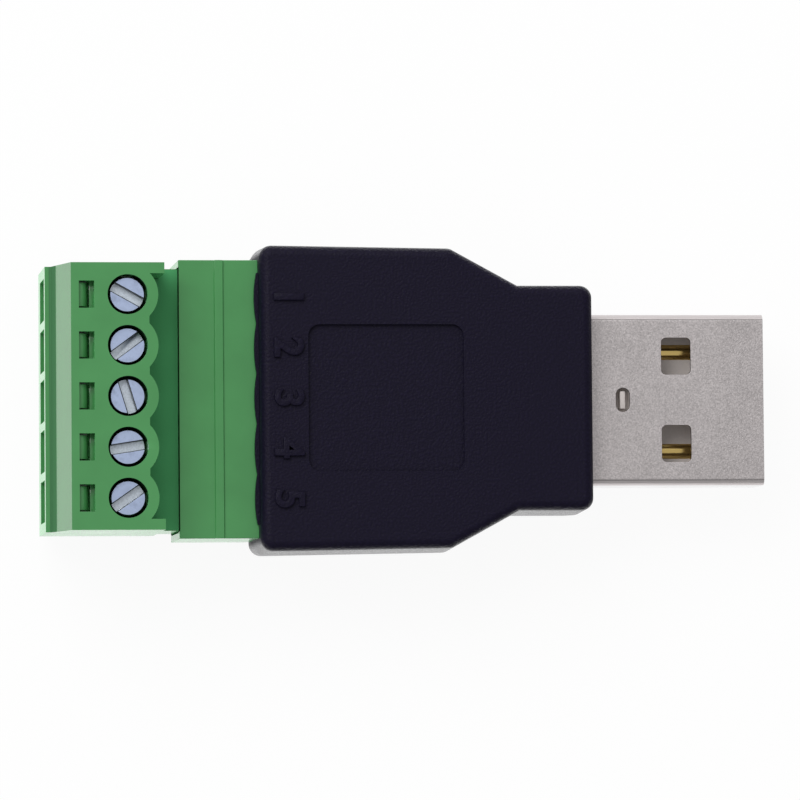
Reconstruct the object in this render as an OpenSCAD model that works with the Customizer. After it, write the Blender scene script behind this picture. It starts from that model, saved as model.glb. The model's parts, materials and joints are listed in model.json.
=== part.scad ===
// Five-way screw terminal adapter with a type A plug: a pluggable terminal row, its shrouded pin
// header and the plug, joined on a small circuit board inside one moulded body.
// The origin is under the middle of the object, on the surface that it rests on. The plug points
// along +X, the terminal screws face +Z, and terminal 1 is at +Y.

/* [Terminal row] */
// Distance between neighbouring terminals
pole_pitch = 3.5; // [3.4:0.05:4]

/* [Terminal plug] */
// Height of the terminal plug
plug_height = 11.1; // [10.8:0.1:13]
// Thickness of the two end walls
plug_end_wall = 0.75; // [0.6:0.05:1.2]
// Thickness of the floor under the clamps
plug_floor = 0.8; // [0.6:0.05:1]
// Distance from the wire face to the front of the header, when plugged in
plug_reach = 9.25; // [8.6:0.05:11]
// Length of the part that goes into the header
insert_len = 7.8; // [7:0.1:7.9]
// Height of the wire face, up to its ledge
wire_face_height = 7.1; // [6.8:0.1:8]
// Depth of the ledge above the wire face
ledge_depth = 0.41; // [0.3:0.01:0.6]
// Depth of the steep slope between the ledge and the top
slope_depth = 1.14; // [0.8:0.02:1.2]
// Radius of the hollow where the ledge meets the slope
ledge_fillet = 0.1; // [0.1:0.05:0.5]
// Distance from the wire face to the screw axes
screw_setback = 5.45; // [5.2:0.05:6]
// Radius of the round bosses behind the screws
boss_radius = 2.11; // [2:0.01:2.2]
// Distance from the screw axes to the flat back between the bosses
back_setback = 1.49; // [1.4:0.01:1.7]
// Distance from the screw axes to the back of the end walls
end_wall_setback = 2.54; // [2.3:0.02:2.8]

/* [Wire entries] */
// Width of a wire entry at the wire face
entry_width = 2.9; // [2.4:0.05:3.05]
// Height of a wire entry at the wire face
entry_height = 4.3; // [3.8:0.1:4.4]
// Height of the sill under a wire entry
entry_sill = 1.85; // [1.7:0.05:2.2]
// Width of a wire entry where it meets the clamp
throat_width = 1.7; // [1.2:0.05:1.8]

/* [Test slots] */
// Distance from the wire face to the slots in the top
slot_setback = 2.09; // [1.9:0.01:2.2]
// Length of a slot, towards the screw
slot_len = 1.06; // [0.9:0.01:1.2]
// Width of a slot, along the row
slot_width = 1.88; // [1.6:0.02:2.2]
// Depth of the rounded shelf in the slot
slot_shelf_depth = 0.3; // [0.2:0.05:1]
// Length of the rounded shelf
slot_shelf_len = 0.6; // [0.5:0.02:0.7]

/* [Clamps] */
// Diameter of a screw head
screw_head_d = 2.4; // [2.2:0.02:2.5]
// Height of a screw head
screw_head_height = 1.2; // [0.9:0.05:1.3]
// Depth of the screw heads below the top of the plug
screw_recess = 0.5; // [0.3:0.05:0.6]
// Width of the driver slot
driver_slot_width = 0.62; // [0.4:0.02:0.8]
// Depth of the driver slot
driver_slot_depth = 0.7; // [0.4:0.05:0.8]
// Width of a clamp cage, along the row
cage_width = 2.7; // [2.66:0.02:2.74]
// Length of a clamp cage, along the wire
cage_len = 2.2; // [2:0.02:2.3]
// Thickness of the cage sides
cage_wall = 0.3; // [0.26:0.02:0.32]
// Thickness of the cage floor, which lifts the wire
cage_floor = 0.6; // [0.4:0.05:0.8]
// Thickness of the threaded cage roof
cage_roof = 1; // [0.8:0.05:1.2]
// Rise of the cage between open and closed
clamp_travel = 2; // [1.2:0.1:2]

/* [Socket contacts] */
// Thickness of the clamping bar and the web behind it
bar_thick = 0.5; // [0.4:0.02:0.6]
// Thickness of the two spring leaves
leaf_thick = 0.3; // [0.2:0.02:0.34]
// Height of the spring leaves below the web
leaf_height = 1.3; // [1:0.05:1.4]

/* [Pin header] */
// Depth of the header, front to back
header_depth = 9.2; // [8.8:0.1:10]
// Length of the header that shows in front of the body
header_exposed = 5.4; // [4.8:0.1:6]
// Height of the header
header_height = 7.25; // [7:0.05:8]
// Thickness of the end walls
header_end_wall = 0.475; // [0.4:0.025:0.9]
// Thickness of the upper and lower walls
header_wall = 0.7; // [0.5:0.05:0.8]
// Thickness of the back wall
header_back = 1.2; // [1:0.1:1.3]
// Distance from the front of the header to its raised band
band_setback = 2.5; // [2:0.05:3]
// Width of the raised band
band_width = 0.62; // [0.4:0.02:0.8]
// Height of the raised band across the top
band_height = 0.15; // [0.1:0.01:0.25]
// Side of the square pins
pin_size = 1; // [0.8:0.02:1.1]
// Distance from the front of the header to the tips of the pins
pin_setback = 1.5; // [1:0.1:2.5]
// Length of the pins behind the header
pin_tail = 3.4; // [2.5:0.1:4]

/* [Moulded body] */
// Length of the moulded body
body_len = 23.6; // [23.4:0.1:28]
// Length of the wide part
wide_len = 13.25; // [12.5:0.05:14.5]
// Length of the slanted shoulders
shoulder_len = 4.75; // [3.5:0.05:5.5]
// Width of the neck
neck_width = 16; // [15.6:0.1:17.5]
// Thickness of the body above and below the header
body_cover = 1.475; // [1.3:0.025:2]
// Thickness of the body at the ends of the header
body_side = 1.1; // [0.9:0.05:1.6]
// How much each side of the wide part draws in towards the shoulders
body_taper = 0.18; // [0.1:0.02:0.26]
// Radius of the upper and lower edges
edge_round = 0.7; // [0.4:0.05:0.8]
// Radius of the upright corners
corner_round = 1; // [0.95:0.05:1.4]
// How far the side walls lean out towards the middle
body_draft = 0.15; // [0:0.01:0.2]
// Height of the waves where the body closes on the header
lip_wave = 0.16; // [0.1:0.01:0.25]
// Height of the wavy lip
lip_height = 0.5; // [0.3:0.05:0.6]
// Length of the sunken panel
panel_len = 10.85; // [9:0.05:12]
// Width of the sunken panel
panel_width = 10.2; // [9:0.05:12]
// Distance from the front of the body to the panel
panel_setback = 3.5; // [3.3:0.05:4.2]
// Depth of the panel
panel_depth = 0.3; // [0.1:0.05:0.4]
// Corner radius of the panel
panel_corner = 0.8; // [0.4:0.05:1.2]

/* [Circuit board] */
// Thickness of the circuit board
board_thick = 1; // [0.6:0.1:1.2]
// Width of the board beside the outer pins
board_margin = 0.7; // [0.4:0.05:0.9]

/* [Type A plug] */
// Length of the shell in front of the body
shell_exposed = 12.35; // [11.8:0.05:13]
// Length of the shell inside the body
shell_buried = 6.5; // [6:0.1:7]
// Width of the shell
shell_width = 12; // [11.9:0.02:12.2]
// Height of the shell
shell_height = 4.5; // [4.4:0.02:4.6]
// Thickness of the sheet
shell_sheet = 0.3; // [0.25:0.01:0.35]
// Outer radius of the folded corners
shell_corner = 0.5; // [0.46:0.02:0.8]
// Distance from the mouth to the latch windows
window_setback = 5.16; // [5:0.02:5.3]
// Length of a latch window
window_len = 2.1; // [1.9:0.02:2.3]
// Width of a latch window
window_width = 2.6; // [2.3:0.02:2.7]
// Distance between the middles of the two windows
window_spacing = 6.14; // [6:0.02:6.4]
// Distance from the mouth to the middle of the keeper hole
keeper_setback = 10; // [9.6:0.05:10.2]
// Length of the keeper hole, along the plug
keeper_len = 1; // [0.8:0.02:1.2]
// Width of the keeper hole
keeper_width = 1.7; // [1.4:0.02:2]
// Distance from the mouth to the insulator's tongue
tongue_setback = 0.6; // [0.4:0.05:0.8]
// Depth of the socket space above the tongue
socket_depth = 8.9; // [8.7:0.05:9]
// Height of the free space above the contacts
socket_gap = 1.95; // [1.9:0.01:2]
// Width of a contact strip
strip_width = 1.2; // [1:0.02:1.3]
// Thickness of a contact strip
strip_thick = 0.3; // [0.2:0.02:0.32]

/* [Hidden] */
$fn = 48;
hull_sides = 32;
wave_sides = 96;
arc_steps = 6;
// Cuts run past the faces that they open by this much
past = 0.2;

// Clearances
cage_gap = 0.1;
head_gap = 0.185;
seat_gap = 0.1;
shank_gap = 0.15;
shank_side_gap = 0.05;
thread_gap = 0.03;
roof_gap = 0.15;
bar_gap = 0.3;
bar_side_gap = 0.1;
pin_gap = 0.15;
leaf_gap = 0.05;
contact_gap = 0.1;
insert_gap = 0.1;
insert_end_gap = 0.2;
insulator_gap = 0.03;
board_gap = 0.05;
board_front_gap = 0.3;

// Terminals: the number of poles, and the driver slot's turn at each screw
poles = 5;
driver_turns = [-29, 36.5, -73, 9, 35];
function pole_y(i) = ((poles - 1) / 2 - i) * pole_pitch;
row_len = (poles - 1) * pole_pitch;

// Test slots: the clefts at both ends of the rounded shelf
shelf_cleft = 0.13;
cleft_depth = 1.5;

// Places along the object
overall_len = plug_reach + header_exposed + body_len + shell_exposed;
wire_x = -overall_len / 2;
screw_x = wire_x + screw_setback;
plug_back_x = screw_x + back_setback;
header_x = wire_x + plug_reach;
insert_x = header_x + insert_len;
header_back_x = header_x + header_depth;
body_x = header_x + header_exposed;
nose_x = body_x + body_len;
mouth_x = nose_x + shell_exposed;
shell_back_x = nose_x - shell_buried;

// Heights
body_height = header_height + 2 * body_cover;
mid_z = body_height / 2;
header_z = body_cover;
header_top = header_z + header_height;
plug_z = header_z;
plug_top = plug_z + plug_height;
ledge_z = plug_z + wire_face_height;
pin_top = mid_z + pin_size / 2;
board_top = mid_z - pin_size / 2;

// Clamps, from the plug's floor upwards
chamber_z = plug_z + plug_floor;
cage_z = chamber_z + cage_gap;
cage_floor_top = cage_z + cage_floor;
bar_z = pin_top + pin_gap;
bar_top = bar_z + bar_thick;
cage_roof_z = bar_top + bar_gap;
cage_top = cage_roof_z + cage_roof;
chamber_top = cage_top + clamp_travel + roof_gap;
head_top = plug_top - screw_recess;
head_z = head_top - screw_head_height;
screw_hole_d = screw_head_d + 2 * head_gap;
shank_d = cage_width - 2 * cage_wall - 2 * shank_side_gap;
shank_z = bar_top + seat_gap;
chamber_width = cage_width + 2 * cage_gap;
chamber_len = cage_len + 2 * cage_gap;

// The plug and the header that it goes into
plug_width = row_len + chamber_width + 2 * plug_end_wall;
insert_width = plug_width - 2 * insert_gap;
header_inner = insert_width + 2 * insert_gap;
header_width = header_inner + 2 * header_end_wall;
insert_z = header_z + header_wall + insert_gap;
insert_top = header_top - header_wall - insert_gap;

// Socket contacts
bar_width = cage_width - 2 * cage_wall - 2 * bar_side_gap;
leaf_inner = pin_size / 2 + leaf_gap;
leaf_spread = 0.12;
web_width = 2 * (leaf_inner + leaf_spread + leaf_thick);
leaf_z = bar_z - leaf_height;
contact_front = screw_x - cage_len / 2;
contact_bend = screw_x + chamber_len / 2 + contact_gap;
mouth_wall = 0.6;
contact_end = insert_x - mouth_wall - contact_gap;
leaf_touch = 1.1;
leaf_mouth = 0.35;
leaf_flare = 0.1;

// Moulded body
body_width = header_width + 2 * body_side;
profile_steps = 5;
neck_x = body_x + wide_len + shoulder_len;
shoulder_x = body_x + wide_len;

// Type A plug
shell_bottom = mid_z - shell_height / 2;
shell_top = mid_z + shell_height / 2;
window_corner = 0.35;
keeper_rib = 0.34;
keeper_pocket = 0.8;
seam_gap = 0.06;
seam_lock = 2.2;
strip_sink = 0.05;
strip_top = shell_top - shell_sheet - socket_gap;
tongue_top = strip_top - strip_thick + strip_sink;
block_x = mouth_x - socket_depth;
insulator_tail = 1.2;
insulator_x = shell_back_x - insulator_tail;
strip_tail = 3;
strip_crown = 0.68;
strip_nose = 0.35;
strip_names = ["power", "data_minus", "data_plus", "ground"];
strip_places = [3.5, 1, -1, -3.5];
strip_setbacks = [1, 2, 2, 1];

// Circuit board, from the header's back to the insulator of the plug
board_x = header_back_x + board_front_gap;
board_end = insulator_x - board_gap;
board_len = board_end - board_x;
board_width = row_len + pin_size + 2 * board_margin;

green = "#4f9459";
black = "#221f28";
nickel = "#aeb2bd";
brass = "#c9a24a";
tin = "#b9bcc2";

// A flat outline in X and Z, made a slab of the given width, centred on Y
module slab(width, y = 0) {
    translate([0, y + width / 2, 0])
        rotate([90, 0, 0])
            linear_extrude(width) children();
}

// A box from its lowest corner in X and Z, centred on Y
module bar(x, z, len, width, height, y = 0) {
    translate([x, y - width / 2, z]) cube([len, width, height]);
}

// A rectangle with round corners, centred
module round_rect(w, h, r) {
    square([w - 2 * r, h], center = true);
    square([w, h - 2 * r], center = true);
    for (sx = [-1, 1], sy = [-1, 1])
        translate([sx * (w / 2 - r), sy * (h / 2 - r)]) circle(r);
}

// A slot outline with round ends, longer along Y, centred
module stadium(w, h) {
    square([w, h - w], center = true);
    for (s = [-1, 1]) translate([0, s * (h - w) / 2]) circle(d = w);
}

// A plate with round corners, upright edges along Z, centred on X and Y
module round_plate(w, h, r, z, thick) {
    translate([0, 0, z]) linear_extrude(thick) round_rect(w, h, r);
}

// A tube or rod of round-cornered section that runs along X
module round_bar(x, len, w, h, r) {
    translate([x, 0, mid_z])
        rotate([90, 0, 90])
            linear_extrude(len) round_rect(w, h, r);
}

// Points of an arc round a centre
function arc(c, r, a0, a1, n) =
    [for (i = [0:n]) c + r * [cos(a0 + (a1 - a0) * i / n), sin(a0 + (a1 - a0) * i / n)]];

// Side outline of the plug: wire face, ledge, hollow, steep slope and flat top
module plug_outline() {
    slope = atan2(plug_top - ledge_z, slope_depth);
    reach = ledge_fillet * tan(slope / 2);
    hollow = [wire_x + ledge_depth - reach, ledge_z + ledge_fillet];
    polygon(concat(
        [[wire_x, plug_z], [wire_x, ledge_z]],
        arc(hollow, ledge_fillet, -90, slope - 90, arc_steps),
        [
            [wire_x + ledge_depth + slope_depth, plug_top],
            [plug_back_x, plug_top],
            [plug_back_x, plug_z]
        ]
    ));
}

// Round bosses that wrap the clamp chambers, cut off flat at the ends of the row
module plug_bosses() {
    intersection() {
        bar(screw_x, insert_z, 2 * boss_radius, plug_width, plug_top - insert_z);
        for (i = [0:poles - 1])
            translate([screw_x, pole_y(i), insert_z]) cylinder(r = boss_radius, h = plug_top - insert_z);
    }
}

// The funnel that guides a wire from the wire face into the clamp
module wire_funnel(y) {
    len = screw_setback - chamber_len / 2 + past;
    sill = plug_z + entry_sill;
    throat_z = cage_floor_top + cage_gap;
    throat_top = bar_z - cage_gap;
    intersection() {
        slab(entry_width, y) polygon([
            [wire_x, sill],
            [wire_x, sill + entry_height],
            [wire_x + len, throat_top],
            [wire_x + len, throat_z]
        ]);
        translate([0, y, plug_z]) linear_extrude(plug_height) polygon([
            [wire_x, -entry_width / 2],
            [wire_x + len, -throat_width / 2],
            [wire_x + len, throat_width / 2],
            [wire_x, entry_width / 2]
        ]);
    }
}

// The test slot: a rounded shelf between two clefts on the wire side, and a way down behind it
module test_slot(y) {
    slot_x = wire_x + slot_setback;
    shelf = [slot_x, plug_top - slot_shelf_depth - slot_shelf_len];
    cleft_y = (slot_width - shelf_cleft) / 2;
    slab(slot_width, y) polygon(concat(
        [[slot_x, plug_top + past]],
        arc(shelf, slot_shelf_len, 90, 0, arc_steps),
        [
            [slot_x + slot_shelf_len, bar_z],
            [slot_x + slot_len, bar_z],
            [slot_x + slot_len, plug_top + past]
        ]
    ));
    for (s = [-1, 1])
        bar(slot_x, plug_top - cleft_depth, slot_len, shelf_cleft, cleft_depth + past, y + s * cleft_y);
}

// All that is open in the plug at one terminal
module plug_cuts(y) {
    wire_funnel(y);
    test_slot(y);
    bar(screw_x - chamber_len / 2, chamber_z, chamber_len, chamber_width, chamber_top - chamber_z, y);
    translate([screw_x, y, chamber_top - past]) cylinder(d = shank_d + 2 * shank_gap, h = plug_height);
    translate([screw_x, y, head_z - seat_gap]) cylinder(d = screw_hole_d, h = plug_height);
    contact_z = leaf_z - contact_gap;
    contact_height = bar_top + contact_gap - contact_z;
    contact_width = web_width + 2 * contact_gap;
    bar(screw_x, contact_z, contact_end + contact_gap - screw_x, contact_width, contact_height, y);
    mouth_size = pin_size + 2 * pin_gap;
    bar(insert_x - mouth_wall - past, mid_z - mouth_size / 2, mouth_wall + 2 * past,
        mouth_size, mouth_size, y);
}

module plug_housing() {
    end_wall_len = screw_setback + end_wall_setback - ledge_depth - slope_depth;
    color(green) difference() {
        union() {
            slab(plug_width) plug_outline();
            for (s = [-1, 1])
                bar(screw_x + end_wall_setback - end_wall_len, plug_z, end_wall_len, plug_end_wall,
                    plug_height, s * (plug_width - plug_end_wall) / 2);
            plug_bosses();
            bar(screw_x, insert_z, insert_x - screw_x, insert_width, insert_top - insert_z);
        }
        for (i = [0:poles - 1]) plug_cuts(pole_y(i));
    }
}

// A slotted screw with a flat head, eased at its rim and its tip
module clamp_screw(i) {
    rim = 0.04;
    tip = 0.24;
    head_r = screw_head_d / 2;
    shank_r = shank_d / 2;
    color(nickel) translate([screw_x, pole_y(i), 0]) difference() {
        rotate_extrude() polygon([
            [0, shank_z],
            [shank_r - tip, shank_z],
            [shank_r, shank_z + tip],
            [shank_r, head_z],
            [head_r, head_z],
            [head_r, head_top - rim],
            [head_r - rim, head_top],
            [0, head_top]
        ]);
        rotate([0, 0, driver_turns[i]])
            translate([-screw_head_d, -driver_slot_width / 2, head_top - driver_slot_depth])
                cube([2 * screw_head_d, driver_slot_width, screw_head_height]);
    }
}

// A folded cage, open along the wire, with a threaded roof and a grooved floor
module clamp_cage(i) {
    groove = 0.16;
    grooves = [-0.6, 0, 0.6];
    color(brass) translate([screw_x, pole_y(i), 0]) difference() {
        bar(-cage_len / 2, cage_z, cage_len, cage_width, cage_top - cage_z);
        bar(-cage_len / 2 - past, cage_floor_top, cage_len + 2 * past, cage_width - 2 * cage_wall,
            cage_roof_z - cage_floor_top);
        translate([0, 0, cage_roof_z - past])
            cylinder(d = shank_d + 2 * thread_gap, h = cage_roof + 2 * past);
        slab(cage_width - 2 * cage_wall) for (x = grooves) polygon([
            [x - groove, cage_floor_top + past / 2],
            [x - groove, cage_floor_top],
            [x, cage_floor_top - groove],
            [x + groove, cage_floor_top],
            [x + groove, cage_floor_top + past / 2]
        ]);
    }
}

// Flat outline of one spring leaf: straight, in to the pin, then out to a flared mouth
module leaf_outline() {
    root = leaf_inner + leaf_spread;
    touch_x = contact_end - leaf_touch;
    flare = leaf_inner + leaf_flare;
    polygon([
        [contact_bend, root],
        [contact_bend + leaf_touch, root],
        [touch_x, leaf_inner],
        [contact_end - leaf_mouth, leaf_inner],
        [contact_end, flare],
        [contact_end, flare + leaf_thick],
        [contact_end - leaf_mouth, leaf_inner + leaf_thick],
        [touch_x, leaf_inner + leaf_thick],
        [contact_bend + leaf_touch, root + leaf_thick],
        [contact_bend, root + leaf_thick]
    ]);
}

// A folded contact: the bar in the clamp, and a web with two leaves that grip the header's pin
module socket_contact(i) {
    color(brass) translate([0, pole_y(i), 0]) {
        bar(contact_front, bar_z, contact_bend - contact_front + past, bar_width, bar_thick);
        bar(contact_bend, bar_z, contact_end - contact_bend - leaf_touch, web_width, bar_thick);
        for (s = [0, 1])
            mirror([0, s, 0])
                translate([0, 0, leaf_z]) linear_extrude(leaf_height + bar_thick / 2) leaf_outline();
    }
}

// A shroud with one open side, a back wall for the pins and a raised band across its top
module header_housing() {
    cavity_z = header_z + header_wall;
    cavity_height = header_height - 2 * header_wall;
    cavity_len = header_depth - header_back;
    color(green) difference() {
        union() {
            bar(header_x, header_z, header_depth, header_width, header_height);
            bar(header_x + band_setback, header_z, band_width, header_width, header_height + band_height);
        }
        bar(header_x - past, cavity_z, cavity_len + past, header_inner, cavity_height);
        for (i = [0:poles - 1])
            bar(header_x, board_top, header_depth + past, pin_size, pin_size, pole_y(i));
    }
}

// A square pin, pointed on all four sides at the tip
module header_pin(i) {
    tip_x = header_x + pin_setback;
    end_x = header_back_x + pin_tail;
    taper = 0.8;
    half = pin_size / 2;
    point = half / 2;
    outline = [
        [tip_x, -point],
        [tip_x + taper, -half],
        [end_x, -half],
        [end_x, half],
        [tip_x + taper, half],
        [tip_x, point]
    ];
    color(tin) translate([0, pole_y(i), mid_z]) intersection() {
        slab(pin_size) polygon(outline);
        translate([0, 0, -half]) linear_extrude(pin_size) polygon(outline);
    }
}

module circuit_board() {
    corner = 0.5;
    color("#2f5f3f") translate([board_x + board_len / 2, 0, 0])
        round_plate(board_len, board_width, corner, board_top - board_thick, board_thick);
}

// One upright corner of the body: rounded above and below, and widest at half height
module body_corner(x, y) {
    top_r = corner_round - body_draft - edge_round;
    upper = arc([top_r, body_height - edge_round], edge_round, 0, 90, profile_steps);
    lower = arc([top_r, edge_round], edge_round, -90, 0, profile_steps);
    translate([x, y, 0]) rotate_extrude($fn = hull_sides)
        polygon(concat([[0, 0]], lower, [[corner_round, mid_z]], upper, [[0, body_height]]));
}

// A length of the body through pairs of corners, each given by its place and half width
module body_stretch(stations) {
    hull()
        for (station = stations, s = [-1, 1])
            body_corner(station[0], s * (station[1] - corner_round));
}

// The lip that closes on the header: one shallow wave in front of each terminal
module wavy_lip(z) {
    wave_r = (pow(pole_pitch / 2, 2) + pow(lip_wave, 2)) / (2 * lip_wave);
    intersection() {
        bar(body_x - 2 * lip_wave, z, 2 * lip_wave + edge_round, row_len + pole_pitch, lip_height);
        for (i = [0:poles - 1])
            translate([body_x + wave_r - lip_wave, pole_y(i), z])
                cylinder(r = wave_r, h = lip_height, $fn = wave_sides);
    }
}

// What the body is moulded round: header, board with its pins, and the buried end of the plug
module body_core() {
    bar(header_x, header_z, header_depth, header_width, header_height);
    bar(header_back_x - past, board_top - board_thick - board_gap, insulator_x - header_back_x + past,
        board_width + 2 * board_gap, board_thick + pin_size + 2 * board_gap);
    round_bar(shell_back_x, nose_x - shell_back_x + past, shell_width, shell_height, shell_corner);
    insulator_width = shell_width - 2 * shell_sheet;
    insulator_height = shell_height - 2 * shell_sheet;
    bar(insulator_x - past, mid_z - insulator_height / 2, insulator_tail + 2 * past,
        insulator_width, insulator_height);
}

module moulded_body() {
    half = body_width / 2;
    neck_half = neck_width / 2;
    color(black) difference() {
        union() {
            body_stretch([
                [body_x + corner_round, half],
                [shoulder_x, half - body_taper],
                [neck_x, neck_half]
            ]);
            body_stretch([[shoulder_x, neck_half], [nose_x - corner_round, neck_half]]);
            wavy_lip(header_top);
            wavy_lip(header_z - lip_height);
        }
        body_core();
        translate([body_x + panel_setback + panel_len / 2, 0, 0])
            round_plate(panel_len, panel_width, panel_corner, body_height - panel_depth, panel_depth + past);
    }
}

// The slit where the sheet's two edges meet under the plug, locked by one dovetail
module shell_seam() {
    lock_x = shell_back_x + seam_lock + keeper_len;
    depth = seam_lock / 2;
    neck = seam_lock / 3;
    head = seam_lock / 2;
    translate([0, 0, shell_bottom - past]) linear_extrude(shell_sheet + 2 * past) {
        difference() {
            translate([shell_back_x - past, -seam_gap / 2])
                square([shell_buried + shell_exposed + 2 * past, seam_gap]);
            translate([lock_x - neck, -seam_gap]) square([2 * neck, 2 * seam_gap]);
        }
        difference() {
            translate([lock_x, 0]) polygon([
                [-neck - seam_gap / 2, -seam_gap / 2],
                [-head - seam_gap / 2, depth + seam_gap / 2],
                [head + seam_gap / 2, depth + seam_gap / 2],
                [neck + seam_gap / 2, -seam_gap / 2]
            ]);
            translate([lock_x, 0]) polygon([
                [-neck + seam_gap / 2, -seam_gap],
                [-head + seam_gap / 2, depth - seam_gap / 2],
                [head - seam_gap / 2, depth - seam_gap / 2],
                [neck - seam_gap / 2, -seam_gap]
            ]);
        }
    }
}

// Folded from one sheet: round corners, four latch windows, a keeper hole and a locked seam
module usb_shell() {
    inner_w = shell_width - 2 * shell_sheet;
    inner_h = shell_height - 2 * shell_sheet;
    window_x = mouth_x - window_setback - window_len / 2;
    color(nickel) difference() {
        round_bar(shell_back_x, shell_buried + shell_exposed, shell_width, shell_height, shell_corner);
        round_bar(shell_back_x - past, shell_buried + shell_exposed + 2 * past, inner_w, inner_h,
            shell_corner - shell_sheet);
        for (s = [-1, 1])
            translate([window_x, s * window_spacing / 2, 0])
                round_plate(window_len, window_width, window_corner,
                    shell_bottom - past, shell_height + 2 * past);
        translate([mouth_x - keeper_setback, 0, mid_z])
            linear_extrude(shell_height) stadium(keeper_len, keeper_width);
        shell_seam();
    }
}

// A block that fills the back of the shell, a tongue for the contacts, and a rib in a pocket that
// shows through the keeper hole
module usb_insulator() {
    width = shell_width - 2 * shell_sheet - 2 * insulator_gap;
    height = shell_height - 2 * shell_sheet - 2 * insulator_gap;
    block_len = block_x - insulator_x;
    floor_z = mid_z - height / 2;
    tongue_end = mouth_x - tongue_setback;
    lead = 0.3;
    rib_len = keeper_width - keeper_len / 2;
    color("#e6e4dc") difference() {
        union() {
            difference() {
                round_bar(insulator_x, block_len, width, height, shell_corner - shell_sheet);
                translate([mouth_x - keeper_setback, 0, shell_top - shell_sheet - keeper_pocket])
                    linear_extrude(shell_height) stadium(keeper_len, keeper_width);
            }
            slab(width - 2 * shell_corner) polygon([
                [block_x - past, floor_z],
                [tongue_end - lead, floor_z],
                [tongue_end, floor_z + lead],
                [tongue_end, tongue_top - lead],
                [tongue_end - lead, tongue_top],
                [block_x - past, tongue_top]
            ]);
            bar(mouth_x - keeper_setback - keeper_rib / 2, mid_z, keeper_rib, rib_len,
                shell_top - shell_sheet / 2 - mid_z);
        }
        for (i = [0:3]) strip_solid(i);
    }
}

// A contact strip with a crowned top, bent down at its nose and stepped down to the board behind
module strip_solid(i) {
    nose = mouth_x - strip_setbacks[i];
    step_x = insulator_x + insulator_tail;
    tail_x = insulator_x - strip_tail;
    strip_z = strip_top - strip_thick;
    tail_top = board_top + strip_thick;
    crown_z = strip_top - strip_crown;
    intersection() {
        slab(strip_width, strip_places[i]) polygon([
            [tail_x, board_top],
            [step_x, board_top],
            [step_x + strip_thick, strip_z],
            [nose, strip_z],
            [nose - strip_nose, strip_top],
            [step_x, strip_top],
            [step_x - strip_thick, tail_top],
            [tail_x, tail_top]
        ]);
        translate([tail_x - past, strip_places[i], crown_z])
            rotate([0, 90, 0]) cylinder(r = strip_crown, h = mouth_x - tail_x);
    }
}

module usb_contact(i) {
    color(brass) strip_solid(i);
}

plug_housing();
for (i = [0:poles - 1]) {
    clamp_screw(i);
    clamp_cage(i);
    socket_contact(i);
    header_pin(i);
}
header_housing();
circuit_board();
moulded_body();
usb_shell();
usb_insulator();
for (i = [0:len(strip_names) - 1])
    usb_contact(i);
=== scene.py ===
"""Looks of a five-way screw terminal adapter: eased edges, numerals, finishes and a stage."""
import json
import math

import bpy
from bpy.props import FloatProperty, FloatVectorProperty, PointerProperty
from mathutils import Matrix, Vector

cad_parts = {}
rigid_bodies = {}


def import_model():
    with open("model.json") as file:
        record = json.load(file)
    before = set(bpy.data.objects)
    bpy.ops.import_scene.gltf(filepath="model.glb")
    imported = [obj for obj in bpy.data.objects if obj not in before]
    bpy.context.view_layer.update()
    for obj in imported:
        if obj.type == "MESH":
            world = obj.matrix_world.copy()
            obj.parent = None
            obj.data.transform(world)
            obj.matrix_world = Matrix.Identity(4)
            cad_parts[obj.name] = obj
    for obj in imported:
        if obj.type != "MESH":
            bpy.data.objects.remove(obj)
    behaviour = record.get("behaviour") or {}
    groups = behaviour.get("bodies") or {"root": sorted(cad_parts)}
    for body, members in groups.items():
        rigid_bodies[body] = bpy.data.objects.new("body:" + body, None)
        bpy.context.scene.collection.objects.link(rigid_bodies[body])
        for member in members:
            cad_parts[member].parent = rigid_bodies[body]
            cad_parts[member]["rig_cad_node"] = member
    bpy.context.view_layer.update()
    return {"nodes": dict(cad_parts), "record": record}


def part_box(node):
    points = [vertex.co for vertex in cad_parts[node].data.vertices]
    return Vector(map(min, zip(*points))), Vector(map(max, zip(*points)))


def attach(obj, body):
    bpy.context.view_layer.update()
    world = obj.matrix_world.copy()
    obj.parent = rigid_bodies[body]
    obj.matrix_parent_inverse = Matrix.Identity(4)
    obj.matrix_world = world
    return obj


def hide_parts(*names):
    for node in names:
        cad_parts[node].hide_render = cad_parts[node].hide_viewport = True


bl_info = {
    "name": "Terminal adapter looks",
    "version": (1, 0, 0),
    "blender": (4, 5, 0),
    "location": "View3D > Sidebar > Adapter",
    "description": "Eases the edges of a screw terminal adapter, finishes it and lights it",
    "category": "Object",
}

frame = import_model()
MM = 0.001
# A margin that takes in what lies right on a limit, and the gap within which corners merge.
HAIR, MERGE_GAP = 0.01 * MM, 0.001 * MM
# Edges sharper than SHARP are rounded, edges flatter than SMOOTH shade as one face, and faces
# within FLAT of each other become one.
SHARP, SMOOTH, FLAT = math.radians(40), math.radians(30), math.radians(0.5)
POLES = (1, 2, 3, 4, 5)
STRIPS = ("power", "data_minus", "data_plus", "ground")
BODY_OF = {
    node: body
    for body, nodes in frame["record"]["behaviour"]["bodies"].items()
    for node in nodes
}
# How type is set, in its own units, before it is scaled to the numerals' height.
TYPE_DEPTH, TYPE_BEVEL, TYPE_SPREAD = 0.16, 0.02, 0.015


def linear(colour):
    """Linear red, green, blue and full cover from an sRGB hex colour."""
    parts = [int(colour[i:i + 2], 16) / 255 for i in (1, 3, 5)]
    return [p / 12.92 if p <= 0.04045 else ((p + 0.055) / 1.055) ** 2.4 for p in parts] + [1.0]


def per_metre(size_mm):
    """The scale of a pattern whose features are this many millimetres across."""
    return 1.0 / (size_mm * MM)


# Properties


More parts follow.
